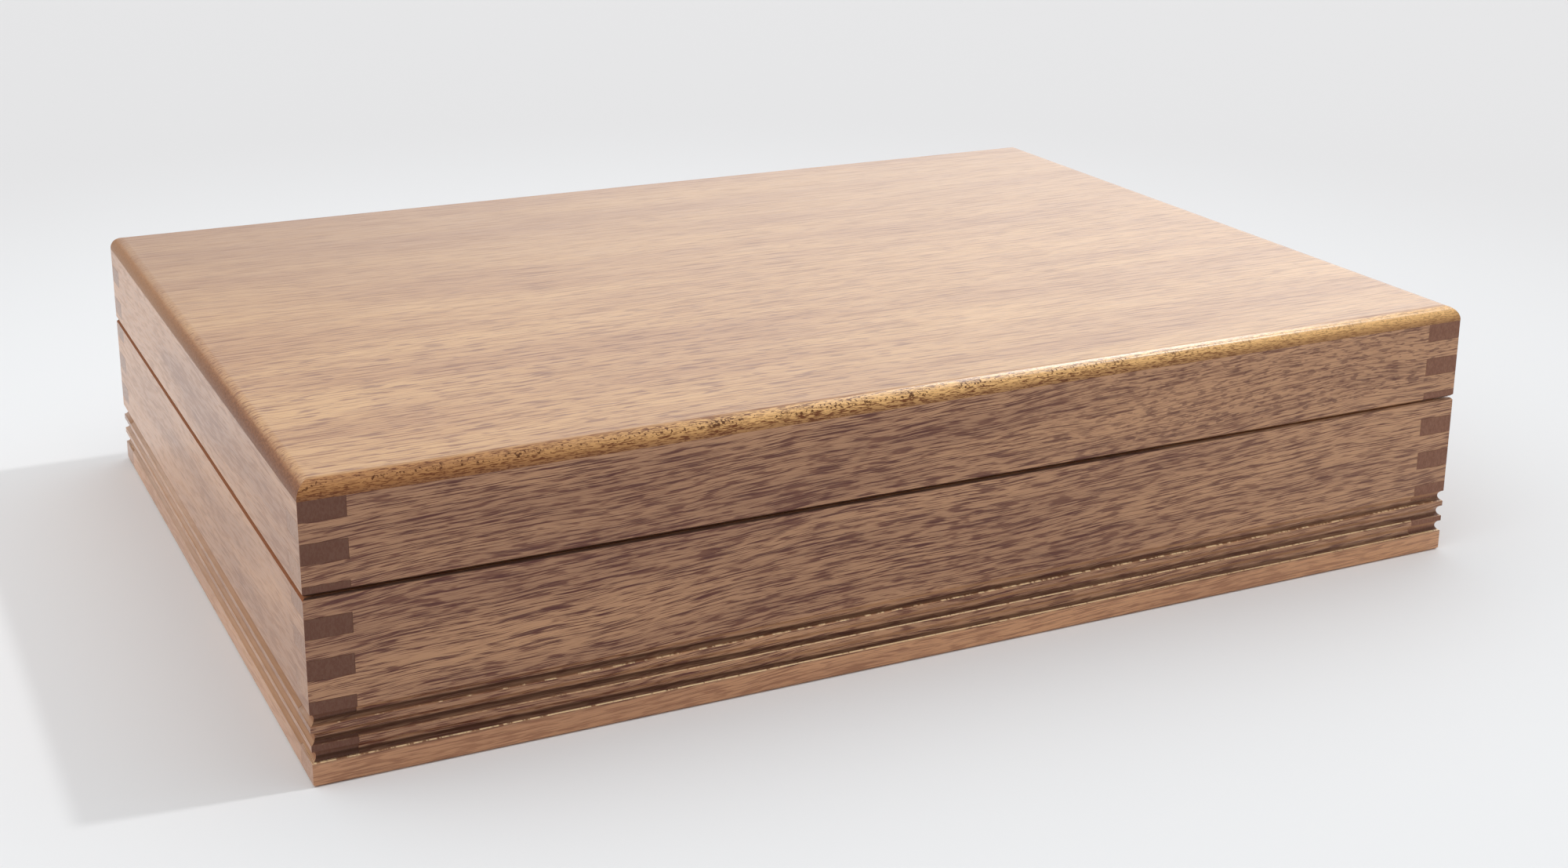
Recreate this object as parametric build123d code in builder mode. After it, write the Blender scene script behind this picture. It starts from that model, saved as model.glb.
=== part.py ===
import os
from math import radians, tan

from build123d import *

os.makedirs("parts", exist_ok=True)

# A finger-jointed wooden chest with a hinged lid, in millimetres. +X runs along the front, +Y towards the
# hinged back and +Z up. The origin is the middle of the underside, and the lid is closed.

# Carcass
chest_length = 406.0
chest_depth = 292.0
board_thickness = 13.5
base_height = 57.15
lid_frame_height = 27.6
rim_gap = 0.6
edge_ease = 0.7

# Finger joints at the corners
finger_height = 6.2
least_finger = 2.0
glue_gap = 0.05

# Panels: the top one lies over the lid frame, the bottom one in a rabbet of the base
top_panel_thickness = 5.0
top_roundover = 4.8
bottom_panel_thickness = 4.0
bottom_rabbet = 6.0

# Round-bottomed grooves that run all round the base above a plain foot band
groove_count = 3
groove_width = 3.8
groove_depth = 1.4
groove_pitch = 5.65
foot_band = 7.2

# Cloth lining
pad_thickness = 2.5
lining_thickness = 2.0
base_lining_reveal = 3.0
lid_lining_reveal = 3.0
lining_gap = 0.2

# Notched rails in the base, for stacks of forks and spoons that lie front to back
rack_notch_count = 8
rack_notch_width = 28.0
rack_notch_depth = 24.0
rack_mouth_ease = 3.0
rack_rail_thickness = 12.0
rack_rail_height = 38.0
rack_rail_spread = 124.0

# Slotted rails in the lid, for knives that lie front to back
knife_count = 8
handle_slot_width = 17.0
handle_slot_depth = 13.0
blade_slot_width = 6.0
blade_slot_depth = 11.0
knife_mouth_ease = 1.5
knife_rail_thickness = 10.0
knife_rail_height = 18.0
handle_rail_place = 72.0
blade_rail_place = -58.0

# Two brass stop hinges, let into the back edges
hinge_inset = 86.0
leaf_thickness = 1.6
leaf_reach = 9.0
knuckle_radius = 2.6
knuckle_length = 12.0
knuckle_gap = 0.3
heel_length = 6.4
pin_radius = 1.1
pin_clearance = 0.05
lid_opening = 100.0
heel_freedom = 1.0

# Countersunk hinge screws, with heads as deep as the leaf
screw_spacing = 32.0
screw_shank_radius = 1.0
screw_cone_angle = 90.0
screw_length = 9.5

# Levels and half sizes that follow from the above
half_length = chest_length / 2
half_depth = chest_depth / 2
inner_length = chest_length - 2 * board_thickness
inner_depth = chest_depth - 2 * board_thickness
lid_floor = base_height + rim_gap
panel_floor = lid_floor + lid_frame_height
base_pad_top = bottom_panel_thickness + glue_gap + pad_thickness
lid_pad_floor = panel_floor - glue_gap - pad_thickness
groove_levels = [foot_band + groove_width / 2 + step * groove_pitch for step in range(groove_count)]
groove_radius = (groove_width ** 2 / 4 + groove_depth ** 2) / (2 * groove_depth)
groove_run_x = half_length + groove_radius - groove_depth
groove_run_y = half_depth + groove_radius - groove_depth
rail_length = inner_length - 2 * (lining_thickness + lining_gap)
hinge_axis_y = half_depth + knuckle_radius + knuckle_gap
hinge_axis_z = base_height + rim_gap / 2
hinge_places = {"left": hinge_inset - half_length, "right": half_length - hinge_inset}
barrel_length = 3 * knuckle_length + 2 * knuckle_gap
leaf_length = barrel_length + 2 * (knuckle_gap + heel_length)
screw_line_y = half_depth - leaf_reach / 2
screw_head_radius = screw_shank_radius + leaf_thickness * tan(radians(screw_cone_angle / 2))
screw_places = [
    (place + side * screw_spacing / 2, screw_line_y)
    for place in hinge_places.values()
    for side in (-1, 1)
]


def save(piece, name):
    piece.part.label = name
    export_step(piece.part, f"parts/{name}.step")


# Fingers of a corner joint from its upper edge down; a last finger too thin to cut joins its neighbour
def finger_spans(foot, top):
    spans = []
    high = top
    while high - foot > least_finger:
        low = high - finger_height
        if low - foot < least_finger:
            low = foot
        spans.append((low, high))
        high = low
    return spans


# The uppermost finger belongs to the long boards in the base, and to the short ones in the lid
base_spans = finger_spans(0, base_height)
lid_spans = finger_spans(lid_floor, panel_floor)


# Cutters: the grooves, the rabbet for the bottom panel and the hinge pockets with their pilot holes
with BuildPart() as grooves:
    with BuildSketch(Plane.YZ):
        with Locations([(side * groove_run_y, level) for side in (-1, 1) for level in groove_levels]):
            Circle(groove_radius)
    extrude(amount=half_length, both=True)
    with BuildSketch(Plane.XZ):
        with Locations([(side * groove_run_x, level) for side in (-1, 1) for level in groove_levels]):
            Circle(groove_radius)
    extrude(amount=half_depth, both=True)

with BuildPart() as bottom_recess:
    with BuildSketch(Plane.XY):
        Rectangle(inner_length + 2 * bottom_rabbet, inner_depth + 2 * bottom_rabbet)
    extrude(amount=bottom_panel_thickness)

with BuildPart() as hinge_pockets:
    with BuildSketch(Plane.XY.offset(hinge_axis_z)):
        with Locations([(place, screw_line_y) for place in hinge_places.values()]):
            Rectangle(leaf_length + 2 * glue_gap, leaf_reach + 2 * glue_gap)
    extrude(amount=rim_gap / 2 + leaf_thickness + glue_gap, both=True)
    with BuildSketch(Plane.XY.offset(hinge_axis_z)):
        with Locations(screw_places):
            Circle(screw_shank_radius + pin_clearance)
    extrude(amount=rim_gap / 2 + screw_length + glue_gap, both=True)


# One carcass board: its elevation is notched at both ends for the fingers of its neighbours
def carcass_board(name, face, run, inward, low, height, notches, eased_levels, cutters):
    notch_length = board_thickness + glue_gap
    with BuildPart() as board:
        with BuildSketch(face):
            with Locations((0, low + height / 2)):
                Rectangle(run, height)
            for notch_low, notch_high in notches:
                notch_middle = (notch_low + notch_high) / 2
                with Locations([(side * (run - notch_length) / 2, notch_middle) for side in (-1, 1)]):
                    Rectangle(notch_length, notch_high - notch_low + glue_gap, mode=Mode.SUBTRACT)
        extrude(amount=inward)
        chamfer(outer_rim_edges(board, eased_levels), edge_ease)
        for cutter in cutters:
            add(cutter.part, mode=Mode.SUBTRACT)
    save(board, name)


# Edges of a board that lie on the outside of the chest at the given levels
def outer_rim_edges(board, levels):
    along_x = board.edges().filter_by(Axis.X).filter_by(lambda edge: is_at(abs(edge.center().Y), half_depth))
    along_y = board.edges().filter_by(Axis.Y).filter_by(lambda edge: is_at(abs(edge.center().X), half_length))
    return (along_x + along_y).filter_by(lambda edge: any(is_at(edge.center().Z, level) for level in levels))


def is_at(value, target):
    return abs(value - target) < glue_gap / 2


front_face = Plane.XZ.offset(half_depth)
back_face = Plane.XZ.offset(-half_depth)
left_face = Plane.YZ.offset(-half_length)
right_face = Plane.YZ.offset(half_length)

# Base boards
base_cutters = [bottom_recess, grooves]
base_rims = (0, base_height)
base_board = (0, base_height)
carcass_board("base_front_board", front_face, chest_length, -board_thickness, *base_board,
              base_spans[1::2], base_rims, base_cutters)
carcass_board("base_back_board", back_face, chest_length, board_thickness, *base_board,
              base_spans[1::2], base_rims, base_cutters + [hinge_pockets])
carcass_board("base_left_board", left_face, chest_depth, board_thickness, *base_board,
              base_spans[0::2], base_rims, base_cutters)
carcass_board("base_right_board", right_face, chest_depth, -board_thickness, *base_board,
              base_spans[0::2], base_rims, base_cutters)

# Lid boards
lid_board = (lid_floor, lid_frame_height)
carcass_board("lid_front_board", front_face, chest_length, -board_thickness, *lid_board,
              lid_spans[0::2], (lid_floor,), [])
carcass_board("lid_back_board", back_face, chest_length, board_thickness, *lid_board,
              lid_spans[0::2], (lid_floor,), [hinge_pockets])
carcass_board("lid_left_board", left_face, chest_depth, board_thickness, *lid_board,
              lid_spans[1::2], (lid_floor,), [])
carcass_board("lid_right_board", right_face, chest_depth, -board_thickness, *lid_board,
              lid_spans[1::2], (lid_floor,), [])

# Top panel, its four upper edges rounded over to mitred creases at the corners
with BuildPart() as lid_top_panel:
    with BuildSketch(Plane.XY.offset(panel_floor)):
        Rectangle(chest_length, chest_depth)
    extrude(amount=top_panel_thickness)
    fillet(lid_top_panel.faces().sort_by(Axis.Z)[-1].edges(), top_roundover)
save(lid_top_panel, "lid_top_panel")

# Bottom panel, flush with the foot of the boards
with BuildPart() as base_bottom_panel:
    with BuildSketch(Plane.XY):
        Rectangle(
            inner_length + 2 * (bottom_rabbet - glue_gap),
            inner_depth + 2 * (bottom_rabbet - glue_gap),
        )
    extrude(amount=bottom_panel_thickness)
save(base_bottom_panel, "base_bottom_panel")


# A flat piece of lining of the given size, resting on a level
def lining(name, middle_x, middle_y, length, depth, low, high):
    with BuildPart() as cloth:
        with BuildSketch(Plane.XY.offset(low)):
            with Locations((middle_x, middle_y)):
                Rectangle(length, depth)
        extrude(amount=high - low)
    save(cloth, name)


# Four wall linings: the long ones reach from corner to corner and the short ones stand between them
def wall_linings(box_name, low, high):
    wall_x = (inner_length - lining_thickness) / 2 - glue_gap
    wall_y = (inner_depth - lining_thickness) / 2 - glue_gap
    long_run = inner_length - 2 * lining_gap
    short_run = inner_depth - 2 * (lining_thickness + lining_gap)
    lining(f"{box_name}_front_lining", 0, -wall_y, long_run, lining_thickness, low, high)
    lining(f"{box_name}_back_lining", 0, wall_y, long_run, lining_thickness, low, high)
    lining(f"{box_name}_left_lining", -wall_x, 0, lining_thickness, short_run, low, high)
    lining(f"{box_name}_right_lining", wall_x, 0, lining_thickness, short_run, low, high)


pad_length = inner_length - 2 * lining_gap
pad_depth = inner_depth - 2 * lining_gap
lining("base_floor_pad", 0, 0, pad_length, pad_depth, base_pad_top - pad_thickness, base_pad_top)
lining("lid_pad", 0, 0, pad_length, pad_depth, lid_pad_floor, lid_pad_floor + pad_thickness)
wall_linings("base", base_pad_top + glue_gap, base_height - base_lining_reveal)
wall_linings("lid", lid_floor + lid_lining_reveal, lid_pad_floor - glue_gap)


# A rail along X with a row of notches, open upwards (+1) or downwards (-1); the end lands are half as wide
# as those between the notches, so that rails of the same count line up
def notched_rail(name, place_y, thickness, low, height, count, width, depth, mouth_ease, opens, round_end):
    pitch = rail_length / count
    end_land = (pitch - width) / 2
    open_edge = low + height * (1 + opens) / 2
    straight = depth - width / 2 if round_end else depth
    with BuildPart() as rail:
        with BuildSketch(Plane.XZ.offset(-place_y - thickness / 2)) as elevation:
            with Locations((0, low + height / 2)):
                Rectangle(rail_length, height)
            with Locations((0, open_edge - opens * straight / 2)):
                with GridLocations(pitch, 0, count, 1):
                    Rectangle(width, straight, mode=Mode.SUBTRACT)
            if round_end:
                with Locations((0, open_edge - opens * straight)):
                    with GridLocations(pitch, 0, count, 1):
                        Circle(width / 2, mode=Mode.SUBTRACT)
            mouth_corners = elevation.vertices().group_by(Axis.Y)[-1 if opens > 0 else 0]
            chamfer(mouth_corners, min(mouth_ease, end_land / 3))
        extrude(amount=thickness)
    save(rail, name)


rack_floor = base_pad_top + glue_gap
for rail_name, side in (("front", -1), ("back", 1)):
    notched_rail(f"{rail_name}_rack_rail", side * rack_rail_spread / 2, rack_rail_thickness,
                 rack_floor, rack_rail_height, rack_notch_count, rack_notch_width, rack_notch_depth,
                 rack_mouth_ease, opens=1, round_end=True)

knife_rail_floor = lid_pad_floor - glue_gap - knife_rail_height
notched_rail("knife_handle_rail", handle_rail_place, knife_rail_thickness,
             knife_rail_floor, knife_rail_height, knife_count, handle_slot_width, handle_slot_depth,
             knife_mouth_ease, opens=-1, round_end=False)
notched_rail("knife_blade_rail", blade_rail_place, knife_rail_thickness,
             knife_rail_floor, knife_rail_height, knife_count, blade_slot_width, blade_slot_depth,
             knife_mouth_ease, opens=-1, round_end=False)


# A hinge leaf: a plate in the board's edge, knuckles round the pin and a bevelled heel at each end. The
# bevels of the two leaves lie on planes through the pin, and meet when the lid is fully open.
def hinge_leaf(name, place, side, knuckle_starts):
    face_z = hinge_axis_z + side * rim_gap / 2
    seat_z = face_z + side * leaf_thickness
    heel_slope = tan(radians((lid_opening + heel_freedom) / 2))
    with BuildPart() as leaf:
        with BuildSketch(Plane.XY.offset(face_z)):
            with Locations((place, screw_line_y)):
                Rectangle(leaf_length, leaf_reach)
        extrude(amount=side * leaf_thickness)
        for start in knuckle_starts:
            with BuildSketch(Plane.YZ.offset(place + start)):
                with Locations(((half_depth + hinge_axis_y) / 2, (face_z + seat_z) / 2)):
                    Rectangle(hinge_axis_y - half_depth, leaf_thickness)
                with Locations((hinge_axis_y, hinge_axis_z)):
                    Circle(knuckle_radius)
                    Circle(pin_radius + pin_clearance, mode=Mode.SUBTRACT)
            extrude(amount=knuckle_length)
        for start in (-leaf_length / 2, leaf_length / 2 - heel_length):
            with BuildSketch(Plane.YZ.offset(place + start)):
                with BuildLine():
                    Polyline(
                        (half_depth, face_z),
                        (hinge_axis_y + abs(face_z - hinge_axis_z) / heel_slope, face_z),
                        (hinge_axis_y + abs(seat_z - hinge_axis_z) / heel_slope, seat_z),
                        (half_depth, seat_z),
                        close=True,
                    )
                make_face()
            extrude(amount=heel_length)
        holes = Plane((place, screw_line_y, (face_z + seat_z) / 2), x_dir=(1, 0, 0), z_dir=(0, 0, -side))
        with Locations(holes):
            with GridLocations(screw_spacing, 0, 2, 1):
                Cone(
                    screw_shank_radius + pin_clearance,
                    screw_head_radius + pin_clearance,
                    leaf_thickness,
                    mode=Mode.SUBTRACT,
                )
    save(leaf, name)


# Countersunk screws, those of the base in one group and those of the lid in another
def hinge_screws(name, side):
    face_z = hinge_axis_z + side * rim_gap / 2
    with BuildPart() as screws:
        for x, y in screw_places:
            top = Plane((x, y, face_z), x_dir=(1, 0, 0), z_dir=(0, side, 0))
            with BuildSketch(top):
                with BuildLine():
                    Polyline(
                        (0, 0),
                        (screw_head_radius, 0),
                        (screw_shank_radius, -leaf_thickness),
                        (screw_shank_radius, -screw_length),
                        (0, -screw_length),
                        close=True,
                    )
                make_face()
            revolve(axis=Axis((x, y, face_z), (0, 0, 1)))
    save(screws, name)


lid_knuckles = [-knuckle_length / 2]
base_knuckles = [-barrel_length / 2, barrel_length / 2 - knuckle_length]
for hinge_name, place in hinge_places.items():
    hinge_leaf(f"{hinge_name}_hinge_base_leaf", place, -1, base_knuckles)
    hinge_leaf(f"{hinge_name}_hinge_lid_leaf", place, 1, lid_knuckles)
    with BuildPart() as hinge_pin:
        with BuildSketch(Plane.YZ.offset(place - barrel_length / 2)):
            with Locations((hinge_axis_y, hinge_axis_z)):
                Circle(pin_radius)
        extrude(amount=barrel_length)
    save(hinge_pin, f"{hinge_name}_hinge_pin")
hinge_screws("base_hinge_screws", -1)
hinge_screws("lid_hinge_screws", 1)
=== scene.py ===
from math import pi, radians

import bmesh
import bpy
from mathutils import Matrix, Vector


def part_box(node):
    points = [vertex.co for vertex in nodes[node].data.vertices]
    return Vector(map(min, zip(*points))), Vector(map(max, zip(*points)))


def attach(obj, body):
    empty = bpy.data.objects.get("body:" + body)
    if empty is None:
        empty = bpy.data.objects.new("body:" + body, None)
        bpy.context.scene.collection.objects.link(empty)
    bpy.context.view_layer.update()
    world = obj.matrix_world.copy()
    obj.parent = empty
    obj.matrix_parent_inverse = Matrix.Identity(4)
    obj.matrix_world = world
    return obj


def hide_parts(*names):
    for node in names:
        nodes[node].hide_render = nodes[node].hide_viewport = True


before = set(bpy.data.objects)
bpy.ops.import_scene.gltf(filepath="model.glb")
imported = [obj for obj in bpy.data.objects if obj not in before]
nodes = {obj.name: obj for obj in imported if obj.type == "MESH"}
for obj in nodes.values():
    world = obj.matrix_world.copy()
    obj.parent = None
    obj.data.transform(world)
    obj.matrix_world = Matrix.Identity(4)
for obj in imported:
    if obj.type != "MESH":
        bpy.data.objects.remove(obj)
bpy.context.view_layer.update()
print("chest: frame loaded,", len(nodes), "pieces")

# the carcass, read back from the frame in metres
boardLow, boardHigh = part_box("base_front_board")
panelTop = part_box("lid_top_panel")[1].z
halfLength = boardHigh.x
halfDepth = -boardLow.y
parting = (boardHigh.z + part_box("lid_front_board")[0].z) / 2


# small helpers for objects and node trees
def addObject(name, data):
    made = bpy.data.objects.new(name, data)
    bpy.context.scene.collection.objects.link(made)
    return made


def toMesh(name, build):
    mesh = bpy.data.meshes.new(name)
    build.to_mesh(mesh)
    build.free()
    return mesh


def newMaterial(name):
    material = bpy.data.materials.new(name)
    material.use_nodes = True
    tree = material.node_tree
    tree.nodes.clear()
    output = tree.nodes.new("ShaderNodeOutputMaterial")
    shader = tree.nodes.new("ShaderNodeBsdfPrincipled")
    tree.links.new(shader.outputs["BSDF"], output.inputs["Surface"])
    return material, tree, shader


def plug(tree, made, inputs):  # links sockets, and sets plain values
    for key, value in inputs.items():
        if isinstance(value, bpy.types.NodeSocket):
            tree.links.new(value, made.inputs[key])
        else:
            made.inputs[key].default_value = value


def addNode(tree, kind, inputs=None, **settings):
    made = tree.nodes.new("ShaderNode" + kind)
    for key, value in settings.items():
        setattr(made, key, value)
    plug(tree, made, inputs or {})
    return made


def calc(tree, operation, first, second=0.0):
    return addNode(tree, "Math", {0: first, 1: second}, operation=operation).outputs[0]


def times(tree, first, *others):  # the product of several masks
    for other in others:
        first = calc(tree, "MULTIPLY", first, other)
    return first


def strongest(tree, first, *others):  # the largest of several masks
    for other in others:
        first = calc(tree, "MAXIMUM", first, other)
    return first


def span(tree, value, low, high, toLow=0.0, toHigh=1.0):  # eases from one value to the other
    return addNode(
        tree, "MapRange",
        {"Value": value, "From Min": low, "From Max": high, "To Min": toLow, "To Max": toHigh},
        interpolation_type="SMOOTHSTEP",
    ).outputs["Result"]


def between(tree, mask, none, full):  # one value where a mask is 0, another where it is 1
    return span(tree, mask, 0.0, 1.0, none, full)


def centred(tree, noise, reach):  # a noise that swings about zero
    return times(tree, calc(tree, "SUBTRACT", noise, 0.5), reach)


def tone(red, green, blue):  # a colour as it looks on screen, 0 to 255
    def linear(value):
        value /= 255
        return value / 12.92 if value <= 0.04045 else ((value + 0.055) / 1.055) ** 2.4
    return (linear(red), linear(green), linear(blue), 1.0)


def mixTone(tree, factor, first, second):  # takes sockets or screen colours
    first, second = (tone(*value) if isinstance(value, tuple) else value for value in (first, second))
    sockets = {0: factor, 6: first, 7: second}  # 6 and 7 take colours
    return addNode(tree, "Mix", sockets, data_type="RGBA").outputs[2]


def fibreNoise(tree, place, stretch, detail=2.0, roughness=0.5, distortion=0.0):
    stretched = addNode(tree, "VectorMath", {0: place, 1: stretch}, operation="MULTIPLY").outputs[0]
    grain = {"Detail": detail, "Roughness": roughness, "Distortion": distortion}
    return addNode(tree, "TexNoise", {"Vector": stretched, "Scale": 1.0, **grain}).outputs["Fac"]


def addBump(tree, shader, height, distance):
    bump = addNode(tree, "Bump", {"Height": height, "Distance": distance})
    tree.links.new(bump.outputs["Normal"], shader.inputs["Normal"])


# camera at the photograph's viewing angle
cameraSettings = {
    "place": (-0.32444, -0.69150, 0.30050),
    "azimuth": -26.038,
    "elevation": 16.542,
    "roll": 0.380,
    "lens": 49.888,
    "sensor": 36.0,
    "shift": -0.07675,
    "clipStart": 0.01,
}


def makeCamera():
    s = cameraSettings
    data = bpy.data.cameras.new("chestCamera")
    data.sensor_fit = "HORIZONTAL"
    data.sensor_width = s["sensor"]
    data.lens = s["lens"]
    data.shift_y = s["shift"]
    data.clip_start = s["clipStart"]
    camera = addObject("chestCamera", data)
    camera.matrix_world = (
        Matrix.Translation(s["place"])
        @ Matrix.Rotation(radians(s["azimuth"]), 4, "Z")
        @ Matrix.Rotation(pi / 2 - radians(s["elevation"]), 4, "X")
        @ Matrix.Rotation(radians(s["roll"]), 4, "Z")
    )
    bpy.context.scene.camera = camera


makeCamera()
print("chest: camera set")

# pale floor, and light from the right with a bright back and a dim front
stageSettings = {
    "floorSize": 6.0,
    # painted light: the floor is paler near the chest, greyer farther off
    "nearLitTone": (236, 238, 240),
    "farTone": (222, 222, 223),
    "nearReach": (0.25, 0.75),
    "paperRoughness": 0.9,
    "paperShine": 0.1,
    "keyDirection": (0.585, -0.06, 0.805),  # towards the lamp
    "keyStrength": 0.64,
    "keyAngle": 3.0,
    "skyBand": (0.15, 0.85, 0.28, 1.05),  # from the rim of the sky to its top
    "frontSide": (0.0, -1.0, 0.10),
    "frontBand": (0.1, 0.9, 1.0, 0.50),
    "leftSide": (-0.98, 0.10, 0.15),
    "leftBand": (0.3, 1.0, 0.0, 0.75),
    "backSide": (0.72, 0.65, 0.25),
    "backBand": (0.3, 1.0),
    "backTone": (246, 246, 247),
    "boxDirection": (0.66, 0.72, 0.24),
    "boxDistance": 2.5,
    "boxSize": (4.0, 1.0),
    "boxSpread": 70.0,
    "boxPower": 2.1,
    "stripDirection": (0.565, 0.28, 0.775),
    "stripAlong": (0.0, -0.94, 0.34),
    "stripDistance": 2.0,
    "stripSize": (0.46, 0.9),
    "stripPower": 20.0,
}


def makeFloor():
    s = stageSettings
    build = bmesh.new()
    bmesh.ops.create_grid(build, x_segments=1, y_segments=1, size=s["floorSize"])
    floor = addObject("floor", toMesh("floor", build))
    material, tree, shader = newMaterial("floorPaper")
    place = addNode(tree, "TexCoord").outputs["Object"]
    reach = addNode(tree, "VectorMath", {0: place}, operation="LENGTH").outputs["Value"]
    # painted light: the floor is paler near the chest and greyer far off, offsetting the chest's shade on
    # it
    plug(tree, shader, {
        "Base Color": mixTone(tree, span(tree, reach, *s["nearReach"]), s["nearLitTone"], s["farTone"]),
        "Roughness": s["paperRoughness"],
        "Specular IOR Level": s["paperShine"],
    })
    floor.data.materials.append(material)


def addLamp(name, kind, power):
    data = bpy.data.lights.new(name, kind)
    data.energy = power
    return addObject(name, data), data


def makeLamps():
    s = stageSettings
    lamp, key = addLamp("keyLamp", "SUN", s["keyStrength"])
    key.angle = radians(s["keyAngle"])
    lamp.rotation_euler = Vector(s["keyDirection"]).to_track_quat("Z", "Y").to_euler()

    softbox, box = addLamp("softbox", "AREA", s["boxPower"])
    box.shape = "RECTANGLE"
    box.size, box.size_y = s["boxSize"]
    box.spread = radians(s["boxSpread"])
    boxAim = Vector(s["boxDirection"]).normalized()
    softbox.location = boxAim * s["boxDistance"]
    softbox.rotation_euler = boxAim.to_track_quat("Z", "Y").to_euler()

    stripLamp, strip = addLamp("stripLamp", "AREA", s["stripPower"])
    strip.shape = "RECTANGLE"
    strip.size, strip.size_y = s["stripSize"]
    stripLamp.visible_diffuse = False  # it shows as a reflection only
    stripAim = Vector(s["stripDirection"]).normalized()
    across = Vector(s["stripAlong"]).cross(stripAim).normalized()
    stripLamp.matrix_world = (
        Matrix.Translation(stripAim * s["stripDistance"])
        @ Matrix((across, stripAim.cross(across), stripAim)).transposed().to_4x4()
    )


def makeSky():
    s = stageSettings
    world = bpy.data.worlds.new("studio")
    bpy.context.scene.world = world
    world.use_nodes = True
    tree = world.node_tree
    tree.nodes.clear()
    output = tree.nodes.new("ShaderNodeOutputWorld")
    heading = addNode(tree, "TexCoord").outputs["Generated"]

    def towards(direction):
        aim = {0: heading, 1: Vector(direction).normalized()}
        return addNode(tree, "VectorMath", aim, operation="DOT_PRODUCT").outputs["Value"]

    level = span(tree, towards((0, 0, 1)), *s["skyBand"])
    level = times(tree, level, span(tree, towards(s["frontSide"]), *s["frontBand"]))
    level = calc(tree, "ADD", level, span(tree, towards(s["leftSide"]), *s["leftBand"]))
    sky = addNode(tree, "Background", {"Color": (1, 1, 1, 1), "Strength": level})
    toBack = span(tree, towards(s["backSide"]), *s["backBand"])
    backdrop = mixTone(tree, toBack, s["farTone"], s["backTone"])
    plain = addNode(tree, "Background", {"Color": backdrop, "Strength": 1.0})

    # the camera, and metal and lacquer, see the plain backdrop
    rays = addNode(tree, "LightPath").outputs
    seen = strongest(tree, rays["Is Camera Ray"], rays["Is Glossy Ray"], rays["Is Transmission Ray"])
    mix = addNode(tree, "MixShader", {0: seen, 1: sky.outputs[0], 2: plain.outputs[0]})
    tree.links.new(mix.outputs[0], output.inputs["Surface"])


makeFloor()
makeLamps()
makeSky()
bpy.context.scene.view_settings.view_transform = "Standard"
print("chest: floor and lamps set")

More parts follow.
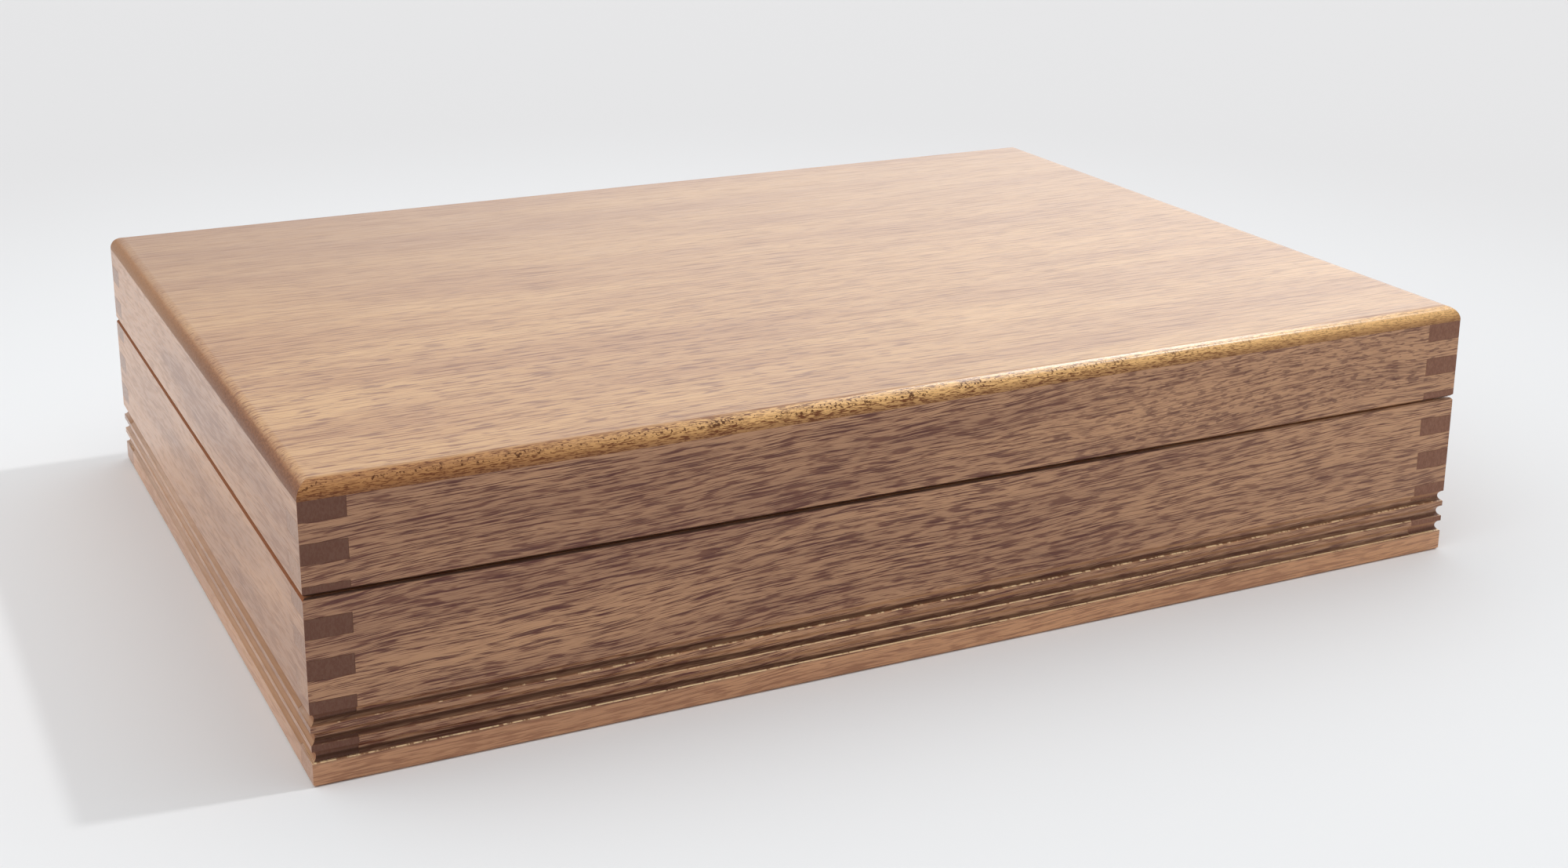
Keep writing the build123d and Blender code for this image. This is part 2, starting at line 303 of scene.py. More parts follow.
# lacquered mahogany: tan ground, dark vessel lines in drifting streaks, dull end grain
mahoganySettings = {
    "lightTone": (206, 155, 114),
    "groundTone": (174, 127, 94),
    "cloudTone": (108, 56, 36),
    "vesselTone": (84, 26, 10),
    "endTone": (114, 77, 60),
    # painted light: the end grain's paler tone toward the right
    "endLitTone": (148, 104, 82),
    # painted light: the foot's warm glow of light bounced up from the floor
    "footBounceTone": (254, 188, 138),
    # painted shade in the front grooves
    "grooveShadeTone": (70, 38, 18),
    # painted shade on the sides, at the groove bottoms and beside the gap
    "rimShadeTone": (136, 72, 26),
    # painted shade in the parting gap in front
    "gapShadeTone": (52, 26, 14),
    # painted light: the lit golden look of the side grooves and rims
    "cutLightTone": (178, 130, 84),
    # painted glints on the lower lips of the grooves
    "lipGlintTone": (255, 224, 176),
    # each noise: its stretch along the three axes, detail and roughness
    "sway": ((7, 7, 20), 1.0),
    "ripple": ((32, 32, 80), 1.0),
    "thread": ((40, 2000, 2000), 3.0, 0.6),
    "strand": ((75, 2900, 2900), 2.0, 0.55),
    "hair": ((110, 4200, 4200), 2.0),
    "cloud": ((105, 760, 760), 2.0),
    "band": ((7, 40, 60), 2.0),
    "dash": ((240, 1300, 1300), 2.0),
    "speck": ((1900, 1900, 900), 2.0, 0.6),
    "sparkle": ((330, 0, 300), 3.0, 0.7),
    # how the fibres run, and how strong the figure is
    "tilt": 2.0,
    "swayReach": 0.009,
    "rippleReach": 0.002,
    "strandInCloud": 0.5,
    "bandInCloud": 0.3,
    "shortFigure": 0.28,
    "rightFigure": 0.7,
    "endFigure": 0.2,
    "dashFigure": 0.75,
    "lineDepth": 0.9,
    # painted light: how fast the boards grow paler toward one end
    "litDriftRun": 0.9,
    # each range: start, end, and where it matters the value at both
    "threadCut": (0.54, 0.62),
    "strandCut": (0.56, 0.65),
    "cloudCut": (0.49, 0.64, 0.0, 0.85),
    "hairCut": (0.50, 0.68, 0.0, 0.5),
    "dashCut": (0.52, 0.62, 0.0, 0.55),
    "groundCut": (0.3, 0.7),
    "speckCut": (0.35, 0.65, 0.0, 0.28),
    "fadeRun": (-0.05, 0.2),  # runs are along the board, in metres
    "dashRun": (-0.02, 0.1),
    "endLitRun": (0.0, 0.2),
    "flatRim": (0.6, 0.9, 1.0, 0.5),
    "endShare": (0.3, 1.0),  # on the sides, in front
    # foot and grooves, in metres from the floor or from the face
    "footTop": (0.0072, 0.0064),
    "footShare": (0.16, 0.32),
    "grooveTop": 0.0235,
    "grooveReach": 0.0016,
    "grooveWall": (0.00015, 0.0006),
    "grooveDeep": (0.0009, 0.0014, 0.0, 0.5),
    "onwardRun": (-0.12, -0.02),
    # painted shade in the front grooves, by slope, run and depth
    "shadeStart": (-0.2, 0.12),  # slopes, at the left end and onward
    "shadeFull": (0.15, 0.55),
    "shadeFade": (0.3, 0.72),
    "shadeDepth": 0.92,
    "shadeLip": (0.55, 0.85),
    "shadeRun": (-0.1, 0.15, 1.0, 0.72),
    # painted light on the shaded upper slope of the front grooves
    "roofSlope": (0.1, -0.4, 0.0, 0.5),
    # painted glints on the lower lips, by slope, height, run and noise
    "lipSlope": (0.86, 0.91),
    "lipHeight": (0.0085, 0.0215, 0.04, -0.1),
    "lipRun": (-0.2, -0.08, -0.06, 0.05),
    "lipCut": (0.42, 0.56),
    "endLips": 0.2,
    # painted light: how strongly the side grooves and rims look lit
    "cutLightShare": 0.6,
    # rims of the parting, by their slope and their distance from it, for painted shade in and beside the
    # gap
    "easeStart": (0.08, 0.3),
    "easeEnd": (0.97, 0.99, 1.0, 0.0),
    "frontGap": (0.0010, 0.0006, 0.0, 0.9),
    "frontRun": (0.02, 0.19, 1.0, 0.4),
    "sideGap": (0.0020, 0.0013, 0.0, 0.9),
    # lacquer
    "roughness": (0.40, 0.62, 0.36, 0.46),
    "dullRoughness": 0.4,
    "endDull": 0.7,
    "coat": 0.5,
    "coatRoughness": 0.2,
    "shine": 0.3,
    "bump": 0.00003,
}


def mahogany(name, turn):
    s = mahoganySettings
    material, tree, shader = newMaterial(name)
    coords = addNode(tree, "TexCoord")
    here = coords.outputs["Object"]
    place = addNode(tree, "SeparateXYZ", {0: here}).outputs
    normal = addNode(tree, "SeparateXYZ", {0: coords.outputs["Normal"]}).outputs
    tilt = radians(s["tilt"])
    lean = (0, tilt) if turn == 0 else (tilt, 0)
    turned = addNode(tree, "Mapping", {"Vector": here, "Rotation": (*lean, radians(turn))}).outputs[0]

    # the fibres sway up and down along the board
    axes = addNode(tree, "SeparateXYZ", {0: turned}).outputs
    run = axes["X"]
    sway = centred(tree, fibreNoise(tree, turned, *s["sway"]), s["swayReach"])
    ripple = centred(tree, fibreNoise(tree, turned, *s["ripple"]), s["rippleReach"])
    height = calc(tree, "ADD", axes["Z"], calc(tree, "ADD", sway, ripple))
    fibre = addNode(tree, "CombineXYZ", {0: run, 1: axes["Y"], 2: height}).outputs[0]

    # which way a face looks
    acrossX = calc(tree, "ABSOLUTE", normal["X"])
    acrossY = calc(tree, "ABSOLUTE", normal["Y"])
    lead, rest = (acrossX, acrossY) if turn == 0 else (acrossY, acrossX)
    endGrain = calc(tree, "GREATER_THAN", lead, rest)
    onFront = calc(tree, "GREATER_THAN", acrossY, acrossX)
    onSide = calc(tree, "SUBTRACT", 1.0, onFront)
    upward = normal["Z"]
    slope = calc(tree, "ABSOLUTE", upward)

    # long fine vessel lines over soft mauve clouds
    thread = fibreNoise(tree, fibre, *s["thread"])
    strand = fibreNoise(tree, fibre, *s["strand"])
    hair = fibreNoise(tree, fibre, *s["hair"])
    band = fibreNoise(tree, fibre, *s["band"])
    cloud = fibreNoise(tree, fibre, *s["cloud"])
    cloud = calc(tree, "ADD", cloud, centred(tree, strand, s["strandInCloud"]))
    cloud = calc(tree, "ADD", cloud, centred(tree, band, s["bandInCloud"]))
    lines = strongest(tree, span(tree, thread, *s["threadCut"]), span(tree, strand, *s["strandCut"]))

    # the figure is calmer on short boards, to the right, on end grain and on flat rims
    figure = 1.0 if turn == 0 else s["shortFigure"]
    fade = span(tree, run, *s["fadeRun"], figure, figure * s["rightFigure"])
    fade = times(tree, fade, between(tree, endGrain, 1.0, s["endFigure"]), span(tree, slope, *s["flatRim"]))

    # on the right of the lid it breaks into dashes
    onLid = calc(tree, "GREATER_THAN", axes["Z"], parting)
    dashed = times(tree, onLid, span(tree, run, *s["dashRun"], 0.0, figure))
    dash = fibreNoise(tree, fibre, *s["dash"])
    dashes = times(tree, span(tree, dash, *s["dashCut"]), dashed)
    fade = times(tree, fade, between(tree, dashed, 1.0, s["dashFigure"]))

    clouds = times(tree, span(tree, cloud, *s["cloudCut"]), fade)
    hairs = times(tree, span(tree, hair, *s["hairCut"]), fade)
    lines = times(tree, lines, fade)
    # painted light: the board grows paler toward one end, to the right in front, as if lit more there
    litDrift = calc(tree, "SUBTRACT", band, times(tree, run, s["litDriftRun"]))  # to one end of the board
    colour = mixTone(tree, span(tree, litDrift, *s["groundCut"]), s["lightTone"], s["groundTone"])
    colour = mixTone(tree, clouds, colour, s["cloudTone"])
    colour = mixTone(tree, hairs, colour, s["cloudTone"])
    colour = mixTone(tree, dashes, colour, s["vesselTone"])
    colour = mixTone(tree, times(tree, lines, s["lineDepth"]), colour, s["vesselTone"])

    # end grain where the fingers come through
    speck = fibreNoise(tree, here, *s["speck"])
    specks = times(tree, span(tree, speck, *s["speckCut"]), onFront)
    # painted light: the end grain grows paler toward the right, as if lit more there
    endColour = mixTone(tree, span(tree, place["X"], *s["endLitRun"]), s["endTone"], s["endLitTone"])
    endColour = mixTone(tree, specks, endColour, s["vesselTone"])
    ends = times(tree, endGrain, between(tree, onFront, *s["endShare"]))
    colour = mixTone(tree, ends, colour, endColour)

    # painted light: the foot is paler and redder, a glow painted in for light bounced up from the floor
    footBounce = span(tree, place["Z"], *s["footTop"], 0.0, between(tree, onFront, *s["footShare"]))
    colour = mixTone(tree, footBounce, colour, s["footBounceTone"])

    # painted shade: in front the grooves are darkened, at the left end under the edge and onward by the
    # lower lip
    depthX = calc(tree, "SUBTRACT", halfLength, calc(tree, "ABSOLUTE", place["X"]))
    depthY = calc(tree, "SUBTRACT", halfDepth, calc(tree, "ABSOLUTE", place["Y"]))
    depth = calc(tree, "MINIMUM", depthX, depthY)
    nearFace = calc(tree, "LESS_THAN", depth, s["grooveReach"])
    low = times(tree, nearFace, calc(tree, "LESS_THAN", place["Z"], s["grooveTop"]))
    inGroove = times(tree, low, span(tree, depth, *s["grooveWall"]))
    onward = span(tree, place["X"], *s["onwardRun"])
    shadeStart, shadeFull, shadeLip = (
        between(tree, onward, *s[key]) for key in ("shadeStart", "shadeFull", "shadeLip")
    )
    grooveShade = times(tree, inGroove, span(tree, upward, shadeStart, shadeFull))
    grooveShade = times(tree, grooveShade, span(tree, upward, *s["shadeFade"], s["shadeDepth"], shadeLip))
    grooveShade = times(tree, grooveShade, span(tree, place["X"], *s["shadeRun"]), onFront)
    # painted light lifts the shaded upper slope of the front grooves
    roofLight = times(tree, inGroove, span(tree, upward, *s["roofSlope"]), onward, onFront)

    # painted shade darkens the eased rims of the parting in front; on the sides the grooves and rims are
    # painted a lit golden, with painted shade at the groove bottoms and beside the gap
    eased = times(tree, span(tree, slope, *s["easeStart"]), span(tree, slope, *s["easeEnd"]))
    fromRim = calc(tree, "ABSOLUTE", calc(tree, "SUBTRACT", place["Z"], parting))
    rimShade = times(tree, eased, span(tree, fromRim, *s["frontGap"]))
    rimShade = times(tree, rimShade, span(tree, place["X"], *s["frontRun"]), onFront)
    # painted shade at the bottoms of the side grooves and beside the gap on the sides
    deepest = times(tree, low, span(tree, depth, *s["grooveDeep"]))
    besideRim = times(tree, eased, span(tree, fromRim, *s["sideGap"]))
    sideShade = times(tree, strongest(tree, deepest, besideRim), onSide)
    # painted light: the side grooves and eased rims are painted a lit golden
    cutLight = times(tree, onSide, strongest(tree, inGroove, eased), s["cutLightShare"])
    colour = mixTone(tree, cutLight, colour, s["cutLightTone"])
    colour = mixTone(tree, roofLight, colour, s["lightTone"])
    colour = mixTone(tree, grooveShade, colour, s["grooveShadeTone"])
    colour = mixTone(tree, sideShade, colour, s["rimShadeTone"])
    colour = mixTone(tree, rimShade, colour, s["gapShadeTone"])

    # painted glints on the lower lips of the grooves, here and there
    sparkle = fibreNoise(tree, here, *s["sparkle"])
    sparkle = calc(tree, "ADD", sparkle, span(tree, place["Z"], *s["lipHeight"]))
    sparkle = calc(tree, "ADD", sparkle, span(tree, place["X"], *s["lipRun"]))
    lipGlints = times(tree, low, onFront, span(tree, upward, *s["lipSlope"]), span(tree, sparkle, *s["lipCut"]))
    lipGlints = times(tree, lipGlints, between(tree, endGrain, 1.0, s["endLips"]))
    colour = mixTone(tree, lipGlints, colour, s["lipGlintTone"])

    # lacquer lies thin on end grain, in the grooves and on the rims
    dull = strongest(tree, grooveShade, rimShade, sideShade, times(tree, endGrain, onFront, s["endDull"]))
    rough = span(tree, cloud, *s["roughness"])
    plug(tree, shader, {
        "Base Color": colour,
        "Roughness": calc(tree, "ADD", rough, times(tree, dull, s["dullRoughness"])),
        "Coat Weight": times(tree, calc(tree, "SUBTRACT", 1.0, dull), s["coat"]),
        "Coat Roughness": s["coatRoughness"],
        "Specular IOR Level": s["shine"],
    })
    addBump(tree, shader, calc(tree, "SUBTRACT", 1.0, lines), s["bump"])
    return material


# veneered plywood: fine lines on the face, plies on the rounded edges
plySettings = {
    "faceLight": (210, 163, 110),
    "faceDark": (187, 137, 89),
    "faceLine": (118, 60, 24),
    # painted shade toward the back of the top
    "backTone": (158, 116, 82),
    "plyLight": (250, 198, 130),
    "plyBrown": (186, 132, 80),
    # painted shade on the lower part of the edges
    "plyShadeTone": (144, 90, 48),
    "plyDark": (112, 60, 24),
    "pitTone": (84, 42, 16),
    "sideLight": (166, 114, 76),
    "sideDark": (134, 88, 56),
    "steepTone": (104, 58, 30),
    # each noise: its stretch along the three axes, detail, roughness and distortion
    "drift": ((4, 10, 10), 1.0),
    "thread": ((34, 1150, 1150), 3.0, 0.6),
    "hair": ((80, 2400, 2400), 2.0),
    "fleck": ((95, 620, 620), 2.0),
    "patch": ((7, 44, 44), 3.0, 0.6),
    "cluster": ((70, 70, 70), 1.0),
    "wavy": ((380, 2800, 3300), 3.0, 0.6, 0.7),
    "pit": ((1150, 700, 1400), 2.0),
    "wobble": ((160, 160, 0), 2.0),
    "sideGrain": ((2000, 600, 1500), 3.0, 0.6),
    # each range: start, end, and where it matters the value at both
    "threadCut": (0.52, 0.64, 0.0, 0.55),
    "lineBands": (0.3, 0.7, 0.6, 1.2),
    "hairCut": (0.50, 0.66, 0.0, 0.45),
    "fleckCut": (0.53, 0.66, 0.0, 0.4),
    "fleckShare": (0.7, 1.7),  # far off, and near on the left
    "patchCut": (0.3, 0.7),
    "leftRun": (0.1, -0.1),  # runs are along or across the panel, in metres
    "nearRun": (0.02, -0.08),
    "backRun": (-0.04, 0.13),
    "backShadeRun": (0.08, -0.18, 0.25, 0.62),
    "backFigure": 0.7,
    "brownRun": (-0.02, -0.18),
    "waveCut": (0.45, 0.59),
    "waveRun": (0.04, 0.17, 1.0, 0.55),
    "pitCut": (0.57, 0.63),
    "pitRun": (0.0, 0.16, 0.9, 0.35),
    "sideCut": (0.35, 0.65),
    "sideSteep": (0.5, 0.95, 0.0, 0.6),
    "sideRun": (-0.1, 0.1, 0.0, 0.45),
    "faceStart": (0.92, 0.7),  # slopes, in front and on the sides
    "faceFull": 0.985,
    # layers, in metres below the top, and how far noises push them
    "faceThickness": 0.00075,
    "crossThickness": 0.0015,
    # where the painted shade on the edges starts and is full, and its strength
    "lowerStart": 0.0016,
    "lowerFull": 0.0044,
    "lowerShadeShare": 0.65,
    "driftReach": 0.012,
    "wobbleReach": 0.0007,
    "clusterInWaves": 0.14,
    "clusterInPits": 0.35,
    "crossPale": 0.35,
    # lacquer
    "roughness": (0.3, 0.7, 0.32, 0.42),
    "faceCoat": 0.5,
    "edgeCoat": 0.4,
    "coatRoughness": 0.22,
    "shine": 0.15,
    "bump": 0.00004,
}


def plywood(name):
    s = plySettings
    material, tree, shader = newMaterial(name)
    coords = addNode(tree, "TexCoord")
    here = coords.outputs["Object"]
    place = addNode(tree, "SeparateXYZ", {0: here}).outputs
    normal = addNode(tree, "SeparateXYZ", {0: coords.outputs["Normal"]}).outputs
    drift = times(tree, fibreNoise(tree, here, *s["drift"]), s["driftReach"])
    bent = addNode(tree, "CombineXYZ", {1: drift}).outputs[0]
    waves = addNode(tree, "VectorMath", {0: here, 1: bent}, operation="ADD").outputs[0]

    # face veneer: lines that gather in bands, and flecks near on the left
    thread = fibreNoise(tree, waves, *s["thread"])
    hair = fibreNoise(tree, waves, *s["hair"])
    fleck = fibreNoise(tree, waves, *s["fleck"])
    patch = fibreNoise(tree, waves, *s["patch"])
    lines = times(tree, span(tree, thread, *s["threadCut"]), span(tree, patch, *s["lineBands"]))
    hairs = span(tree, hair, *s["hairCut"])
    nearLeft = times(tree, span(tree, place["X"], *s["leftRun"]), span(tree, place["Y"], *s["nearRun"]))
    flecks = times(tree, span(tree, fleck, *s["fleckCut"]), between(tree, nearLeft, *s["fleckShare"]))
    face = mixTone(tree, span(tree, patch, *s["patchCut"]), s["faceLight"], s["faceDark"])

    # painted shade: greyer to the back, most on the left; the figure is calmer to the back
    toBack = span(tree, place["Y"], *s["backRun"])
    backShade = times(tree, toBack, span(tree, place["X"], *s["backShadeRun"]))
    face = mixTone(tree, backShade, face, s["backTone"])
    calm = between(tree, toBack, 1.0, s["backFigure"])
    for mask in (flecks, hairs, lines):
        face = mixTone(tree, times(tree, mask, calm), face, s["faceLine"])

    # front and back edges: wavy long grain, and pitted cross grain between
    cluster = fibreNoise(tree, here, *s["cluster"])
    wavy = fibreNoise(tree, here, *s["wavy"])
    waved = calc(tree, "ADD", wavy, centred(tree, cluster, s["clusterInWaves"]))
    golden = mixTone(tree, span(tree, place["X"], *s["brownRun"]), s["plyLight"], s["plyBrown"])
    # painted shade: the plies darken toward the bottom of the edge
    lowerRange = (panelTop - s["lowerStart"], panelTop - s["lowerFull"])
    lowerShade = span(tree, place["Z"], *lowerRange, 0.0, s["lowerShadeShare"])
    golden = mixTone(tree, lowerShade, golden, s["plyShadeTone"])
    marks = times(tree, span(tree, waved, *s["waveCut"]), span(tree, place["X"], *s["waveRun"]))
    longPly = mixTone(tree, marks, golden, s["plyDark"])
    pit = calc(tree, "ADD", fibreNoise(tree, here, *s["pit"]), centred(tree, cluster, s["clusterInPits"]))
    pits = times(tree, span(tree, pit, *s["pitCut"]), span(tree, place["X"], *s["pitRun"]))
    crossPly = mixTone(tree, pits, mixTone(tree, s["crossPale"], longPly, golden), s["pitTone"])
    wobble = centred(tree, fibreNoise(tree, here, *s["wobble"]), s["wobbleReach"])
    level = calc(tree, "ADD", place["Z"], wobble)
    faceFloor = panelTop - s["faceThickness"]
    overFloor = calc(tree, "GREATER_THAN", level, faceFloor - s["crossThickness"])
    inCross = times(tree, overFloor, calc(tree, "LESS_THAN", level, faceFloor))
    edge = mixTone(tree, inCross, longPly, crossPly)

    # side edges are brown and smooth, darker where steep and paler to the back
    acrossX = calc(tree, "ABSOLUTE", normal["X"])
    onSides = calc(tree, "GREATER_THAN", acrossX, calc(tree, "ABSOLUTE", normal["Y"]))
    sideGrain = fibreNoise(tree, here, *s["sideGrain"])
    sideEdge = mixTone(tree, span(tree, sideGrain, *s["sideCut"]), s["sideLight"], s["sideDark"])
    sideEdge = mixTone(tree, span(tree, acrossX, *s["sideSteep"]), sideEdge, s["steepTone"])
    sideEdge = mixTone(tree, span(tree, place["Y"], *s["sideRun"]), sideEdge, s["faceDark"])
    edge = mixTone(tree, onSides, edge, sideEdge)
    upward = calc(tree, "ABSOLUTE", normal["Z"])
    onFace = span(tree, upward, between(tree, onSides, *s["faceStart"]), s["faceFull"])

    # no lacquer in the pits and on the side edges
    bare = strongest(tree, times(tree, pits, inCross), onSides)
    edgeCoat = between(tree, bare, s["edgeCoat"], 0.0)
    plug(tree, shader, {
        "Base Color": mixTone(tree, onFace, edge, face),
        "Roughness": span(tree, thread, *s["roughness"]),
        "Coat Weight": between(tree, onFace, edgeCoat, s["faceCoat"]),
        "Coat Roughness": s["coatRoughness"],
        "Specular IOR Level": s["shine"],
    })
    addBump(tree, shader, calc(tree, "SUBTRACT", 1.0, calc(tree, "ADD", thread, wavy)), s["bump"])
    return material


# solid brass, rubbed along its length
brassSettings = {
    "brightTone": (238, 202, 132),
    "dullTone": (206, 166, 98),
    "rub": ((120, 4200, 4200), 2.0),
    "tarnish": ((160, 160, 160), 3.0),
    "tarnishCut": (0.35, 0.7),
    "roughness": (0.3, 0.7, 0.20, 0.38),
    "bump": 0.00001,
}


def brass(name):
    s = brassSettings
    material, tree, shader = newMaterial(name)
    here = addNode(tree, "TexCoord").outputs["Object"]
    rub = fibreNoise(tree, here, *s["rub"])
    tarnish = fibreNoise(tree, here, *s["tarnish"])
    plug(tree, shader, {
        "Base Color": mixTone(tree, span(tree, tarnish, *s["tarnishCut"]), s["brightTone"], s["dullTone"]),
        "Metallic": 1.0,
        "Roughness": span(tree, rub, *s["roughness"]),
    })
    addBump(tree, shader, rub, s["bump"])
    return material


# brown napped cloth, and the flock on the rails
clothSettings = {
    "lightTone": (112, 76, 54),
    "darkTone": (74, 46, 31),
    "sheenTone": (190, 150, 120),
    "liningNap": 1400,
    "railNap": 2200,
    "napGrain": (3.0, 0.7),
    "napShare": 0.7,
    "brushed": ((60, 60, 60), 2.0),
    "brushedShare": 0.3,
    "fuzzCut": (0.36, 0.64),
    "roughness": 0.95,
    "shine": 0.15,
    "sheen": 0.35,
    "sheenRoughness": 0.45,
    "bump": 0.00025,
}


def napCloth(name, napScale):
    s = clothSettings
    material, tree, shader = newMaterial(name)
    here = addNode(tree, "TexCoord").outputs["Object"]
    nap = fibreNoise(tree, here, (napScale, napScale, napScale), *s["napGrain"])
    brushed = fibreNoise(tree, here, *s["brushed"])
    fuzz = calc(tree, "ADD", times(tree, nap, s["napShare"]), times(tree, brushed, s["brushedShare"]))
    plug(tree, shader, {
        "Base Color": mixTone(tree, span(tree, fuzz, *s["fuzzCut"]), s["darkTone"], s["lightTone"]),
        "Roughness": s["roughness"],
        "Specular IOR Level": s["shine"],
        "Sheen Weight": s["sheen"],
        "Sheen Roughness": s["sheenRoughness"],
        "Sheen Tint": tone(*s["sheenTone"]),
    })
    addBump(tree, shader, nap, s["bump"])
    return material


# the boards' edges are sanded by hand
sandSettings = {"weld": 0.00001, "width": 0.00006, "segments": 2, "angle": 35.0}


def sand(board):
    s = sandSettings
    weld = board.modifiers.new("weld", "WELD")
    weld.merge_threshold = s["weld"]
    bevel = board.modifiers.new("sanded", "BEVEL")
    bevel.width = s["width"]
    bevel.segments = s["segments"]
    bevel.limit_method = "ANGLE"
    bevel.angle_limit = radians(s["angle"])
    bevel.harden_normals = True


def dress(material, *names, sanded=False):
    for name in names:
        nodes[name].data.materials.clear()
        nodes[name].data.materials.append(material)
        if sanded:
            sand(nodes[name])


longWood = mahogany("mahoganyAlong", 0)
shortWood = mahogany("mahoganyAcross", -90)
plyWood = plywood("plywoodPanel")
brassMetal = brass("rubbedBrass")
liningCloth = napCloth("liningCloth", clothSettings["liningNap"])
flock = napCloth("railFlock", clothSettings["railNap"])
for part in ("base", "lid"):
    dress(longWood, f"{part}_front_board", f"{part}_back_board", sanded=True)
    dress(shortWood, f"{part}_left_board", f"{part}_right_board", sanded=True)
dress(plyWood, "lid_top_panel", "base_bottom_panel")
dress(flock, "front_rack_rail", "back_rack_rail", "knife_handle_rail", "knife_blade_rail")
for side in ("left", "right"):
    dress(brassMetal, f"{side}_hinge_base_leaf", f"{side}_hinge_lid_leaf", f"{side}_hinge_pin")
print("chest: wood, brass and flock dressed")


def addPiece(name, build, material, body, slot, *replaced):
    bmesh.ops.recalc_face_normals(build, faces=build.faces)
    piece = addObject(name, toMesh(name, build))
    piece.data.materials.append(material)
    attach(piece, body)
    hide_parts(*replaced)
    return piece


# slotted countersunk screws, two to a leaf
screwSettings = {
    "sides": 32,
    "shank": 0.0010,
    "rimEase": 0.00025,
    "slotWidth": 0.0008,
    "slotDepth": 0.0007,
    "firstTurn": 25,  # the slots stand at odd angles, in degrees
    "nextTurn": 47,
    "onPlane": 1e-7,
    "merge": 1e-6,
}


def makeScrews(node, body, leaf, up):
    s = screwSettings
    low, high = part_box(node)
    leafLow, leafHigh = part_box(leaf)
    radius = (high.y - low.y) / 2
    middle = abs(leafLow.x + leafHigh.x) / 2
    outer = high.x - radius
    inner = 2 * middle - outer
    headZ, tipZ = (high.z, low.z) if up else (low.z, high.z)
    inward = -1 if up else 1
    neckZ = headZ + (radius - s["shank"]) * inward
    build = bmesh.new()
    for index, x in enumerate((-outer, -inner, inner, outer)):
        centre = Vector((x, (low.y + high.y) / 2, headZ))
        place = Matrix.Translation(centre)
        head = bmesh.ops.create_circle(
            build, cap_ends=True, radius=radius, segments=s["sides"], matrix=place
        )["verts"]
        disc = head[0].link_faces[0]
        rim = list(disc.edges)
        bmesh.ops.inset_region(build, faces=[disc], thickness=s["rimEase"])
        bmesh.ops.translate(build, verts=head, vec=(0, 0, s["rimEase"] * inward))

        # the flank and the shank run in from the rim
        for z, scale in ((neckZ, s["shank"] / radius), (tipZ, 1.0)):
            drop = bmesh.ops.extrude_edge_only(build, edges=rim)["geom"]
            ring = [item for item in drop if isinstance(item, bmesh.types.BMVert)]
            edges = [item for item in drop if isinstance(item, bmesh.types.BMEdge)]
            rim = [edge for edge in edges if all(vert in ring for vert in edge.verts)]
            bmesh.ops.translate(build, verts=ring, vec=(0, 0, z - ring[0].co.z))
            onAxis = Matrix.Translation((-x, -centre.y, -z))
            bmesh.ops.scale(build, vec=(scale, scale, 1), space=onAxis, verts=ring)
        bmesh.ops.edgeloop_fill(build, edges=rim)

        # the slot is a strip of the disc pushed in
        slotTurn = radians(s["firstTurn"] + s["nextTurn"] * index)
        across = Matrix.Rotation(slotTurn, 3, "Z") @ Vector((1, 0, 0))
        geometry = [disc, *disc.edges, *disc.verts]
        for side in (-1, 1):
            edgeAt = centre + across * side * s["slotWidth"] / 2
            geometry = bmesh.ops.bisect_plane(
                build, geom=geometry, plane_co=edgeAt, plane_no=across, dist=s["onPlane"]
            )["geom"]
        faces = [item for item in geometry if isinstance(item, bmesh.types.BMFace)]
        strip = min(faces, key=lambda face: abs((face.calc_center_median() - centre).dot(across)))
        sunk = bmesh.ops.extrude_discrete_faces(build, faces=[strip])["faces"]
        bmesh.ops.translate(build, verts=sunk[0].verts, vec=(0, 0, s["slotDepth"] * inward))
    bmesh.ops.remove_doubles(build, verts=build.verts, dist=s["merge"])
    addPiece(f"{body}ScrewSlots", build, brassMetal, body, "brass", node)


makeScrews("base_hinge_screws", "base", "right_hinge_base_leaf", True)
makeScrews("lid_hinge_screws", "lid", "right_hinge_lid_leaf", False)
print("chest: screws slotted")

# cloth glued over card: every pad starts thin and is blown up a little by the cloth solver
padSettings = {
    "cell": 0.006,
    "ease": 0.0007,
    "swell": 0.0006,
    "swellShare": 0.9,  # the rise is capped below the solid's own face
    "pressure": 1.5,
    "frames": 12,
    "alike": 0.9,  # how near an edge or a face lies to its axis
    "onFace": 1e-6,
    "offFace": 1e-5,
}


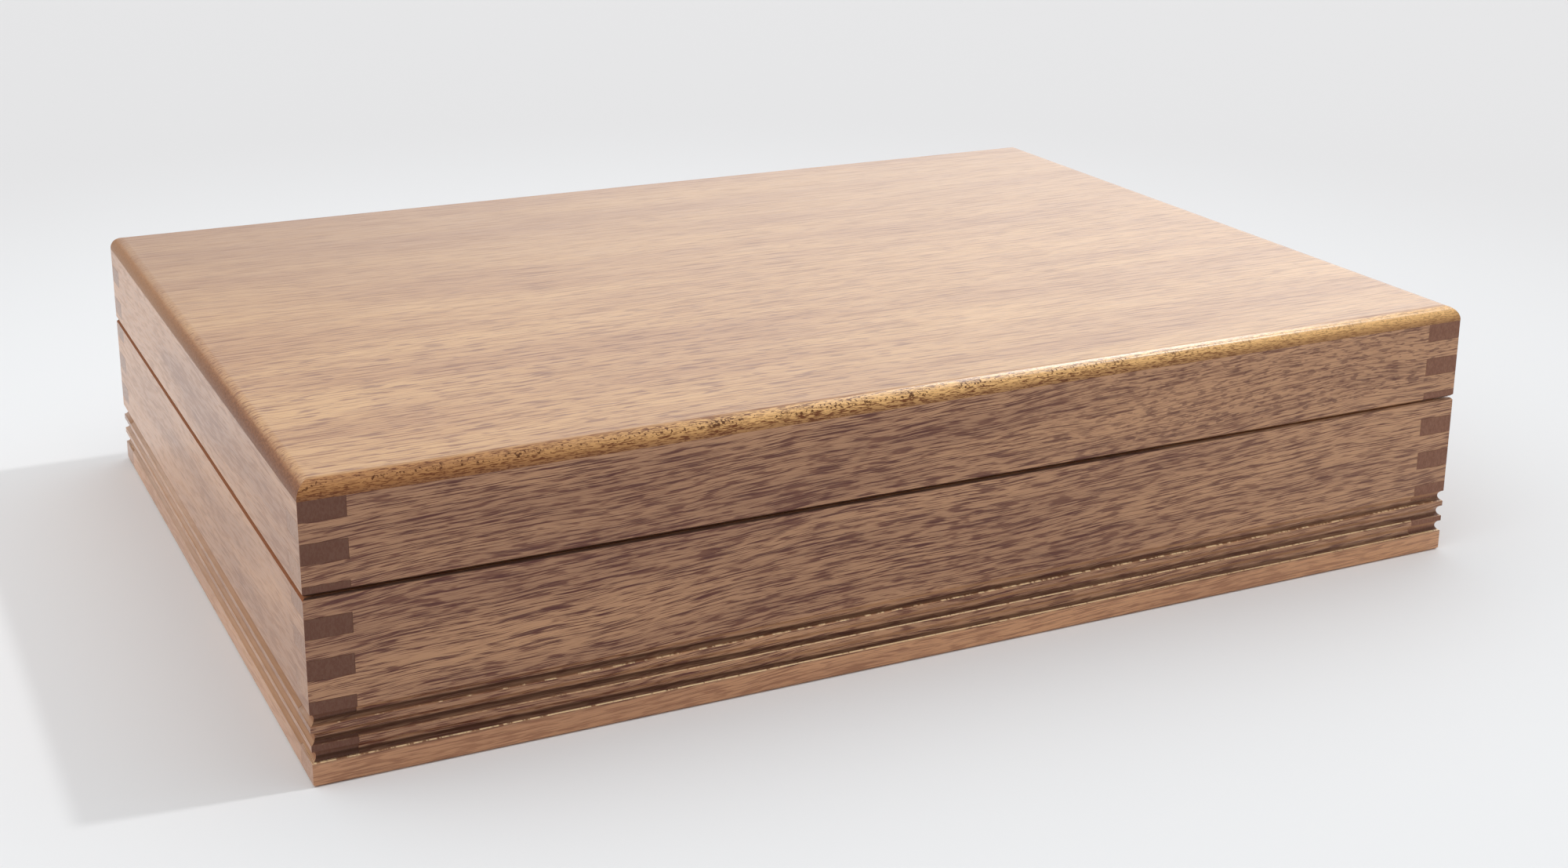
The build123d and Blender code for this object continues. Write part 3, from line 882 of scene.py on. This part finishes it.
def makePad(node, body, axis, side):
    s = padSettings
    low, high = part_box(node)
    front = high if side > 0 else low
    face = front[axis] - side * s["swell"]
    front[axis] = face
    size = high - low
    build = bmesh.new()
    block = Matrix.Translation((low + high) / 2) @ Matrix.Diagonal((*size, 1))
    bmesh.ops.create_cube(build, size=1.0, matrix=block)
    for along in {0, 1, 2} - {axis}:
        cuts = int(size[along] / s["cell"])
        least = size[along] * s["alike"]
        lengths = [(edge, abs((edge.verts[0].co - edge.verts[1].co)[along])) for edge in build.edges]
        run = [edge for edge, length in lengths if length > least]
        bmesh.ops.subdivide_edges(build, edges=run, cuts=cuts, use_grid_fill=True)
    rim = [
        edge for edge in build.edges
        if all(abs(vert.co[axis] - face) < s["onFace"] for vert in edge.verts)
        and sum(abs(each.normal[axis]) > s["alike"] for each in edge.link_faces) == 1
    ]
    bmesh.ops.bevel(
        build, geom=rim, offset=s["ease"], segments=2, profile=0.5, affect="EDGES", material=-1
    )
    piece = addPiece(f"{node}_cloth", build, liningCloth, body, "lining_cloth", node)
    for polygon in piece.data.polygons:
        polygon.use_smooth = True

    # all but the front face is held
    held = [vert.index for vert in piece.data.vertices if abs(vert.co[axis] - face) > s["offFace"]]
    glued = piece.vertex_groups.new(name="glued")
    glued.add(held, 1.0, "REPLACE")
    cloth = piece.modifiers.new("swelling", "CLOTH")
    cloth.settings.vertex_group_mass = "glued"
    cloth.settings.use_pressure = True
    cloth.settings.uniform_pressure_force = s["pressure"]
    cloth.settings.effector_weights.gravity = 0
    cloth.collision_settings.use_collision = False
    return piece, axis, side, face


def settlePads(pads):
    s = padSettings
    scene = bpy.context.scene
    for number in range(1, s["frames"] + 1):
        scene.frame_set(number)
    graph = bpy.context.evaluated_depsgraph_get()
    for piece, axis, side, face in pads:
        mesh = bpy.data.meshes.new_from_object(piece.evaluated_get(graph))
        highest = 0.0
        for vert in mesh.vertices:
            rise = (vert.co[axis] - face) * side
            highest = max(highest, rise)
            vert.co[axis] = face + side * min(rise, s["swell"] * s["swellShare"])
        piece.modifiers.clear()
        piece.vertex_groups.clear()
        flat = piece.data
        piece.data = mesh
        bpy.data.meshes.remove(flat)
        print("chest: pad", piece.name, "rose", round(highest * 1000, 2), "mm")
    scene.frame_set(1)


pads = []
for part in ("base", "lid"):
    pads += [
        makePad(f"{part}_front_lining", part, 1, 1),
        makePad(f"{part}_back_lining", part, 1, -1),
        makePad(f"{part}_left_lining", part, 0, 1),
        makePad(f"{part}_right_lining", part, 0, -1),
    ]
pads.append(makePad("base_floor_pad", "base", 2, 1))
pads.append(makePad("lid_pad", "lid", 2, -1))
settlePads(pads)
print("chest: linings padded")
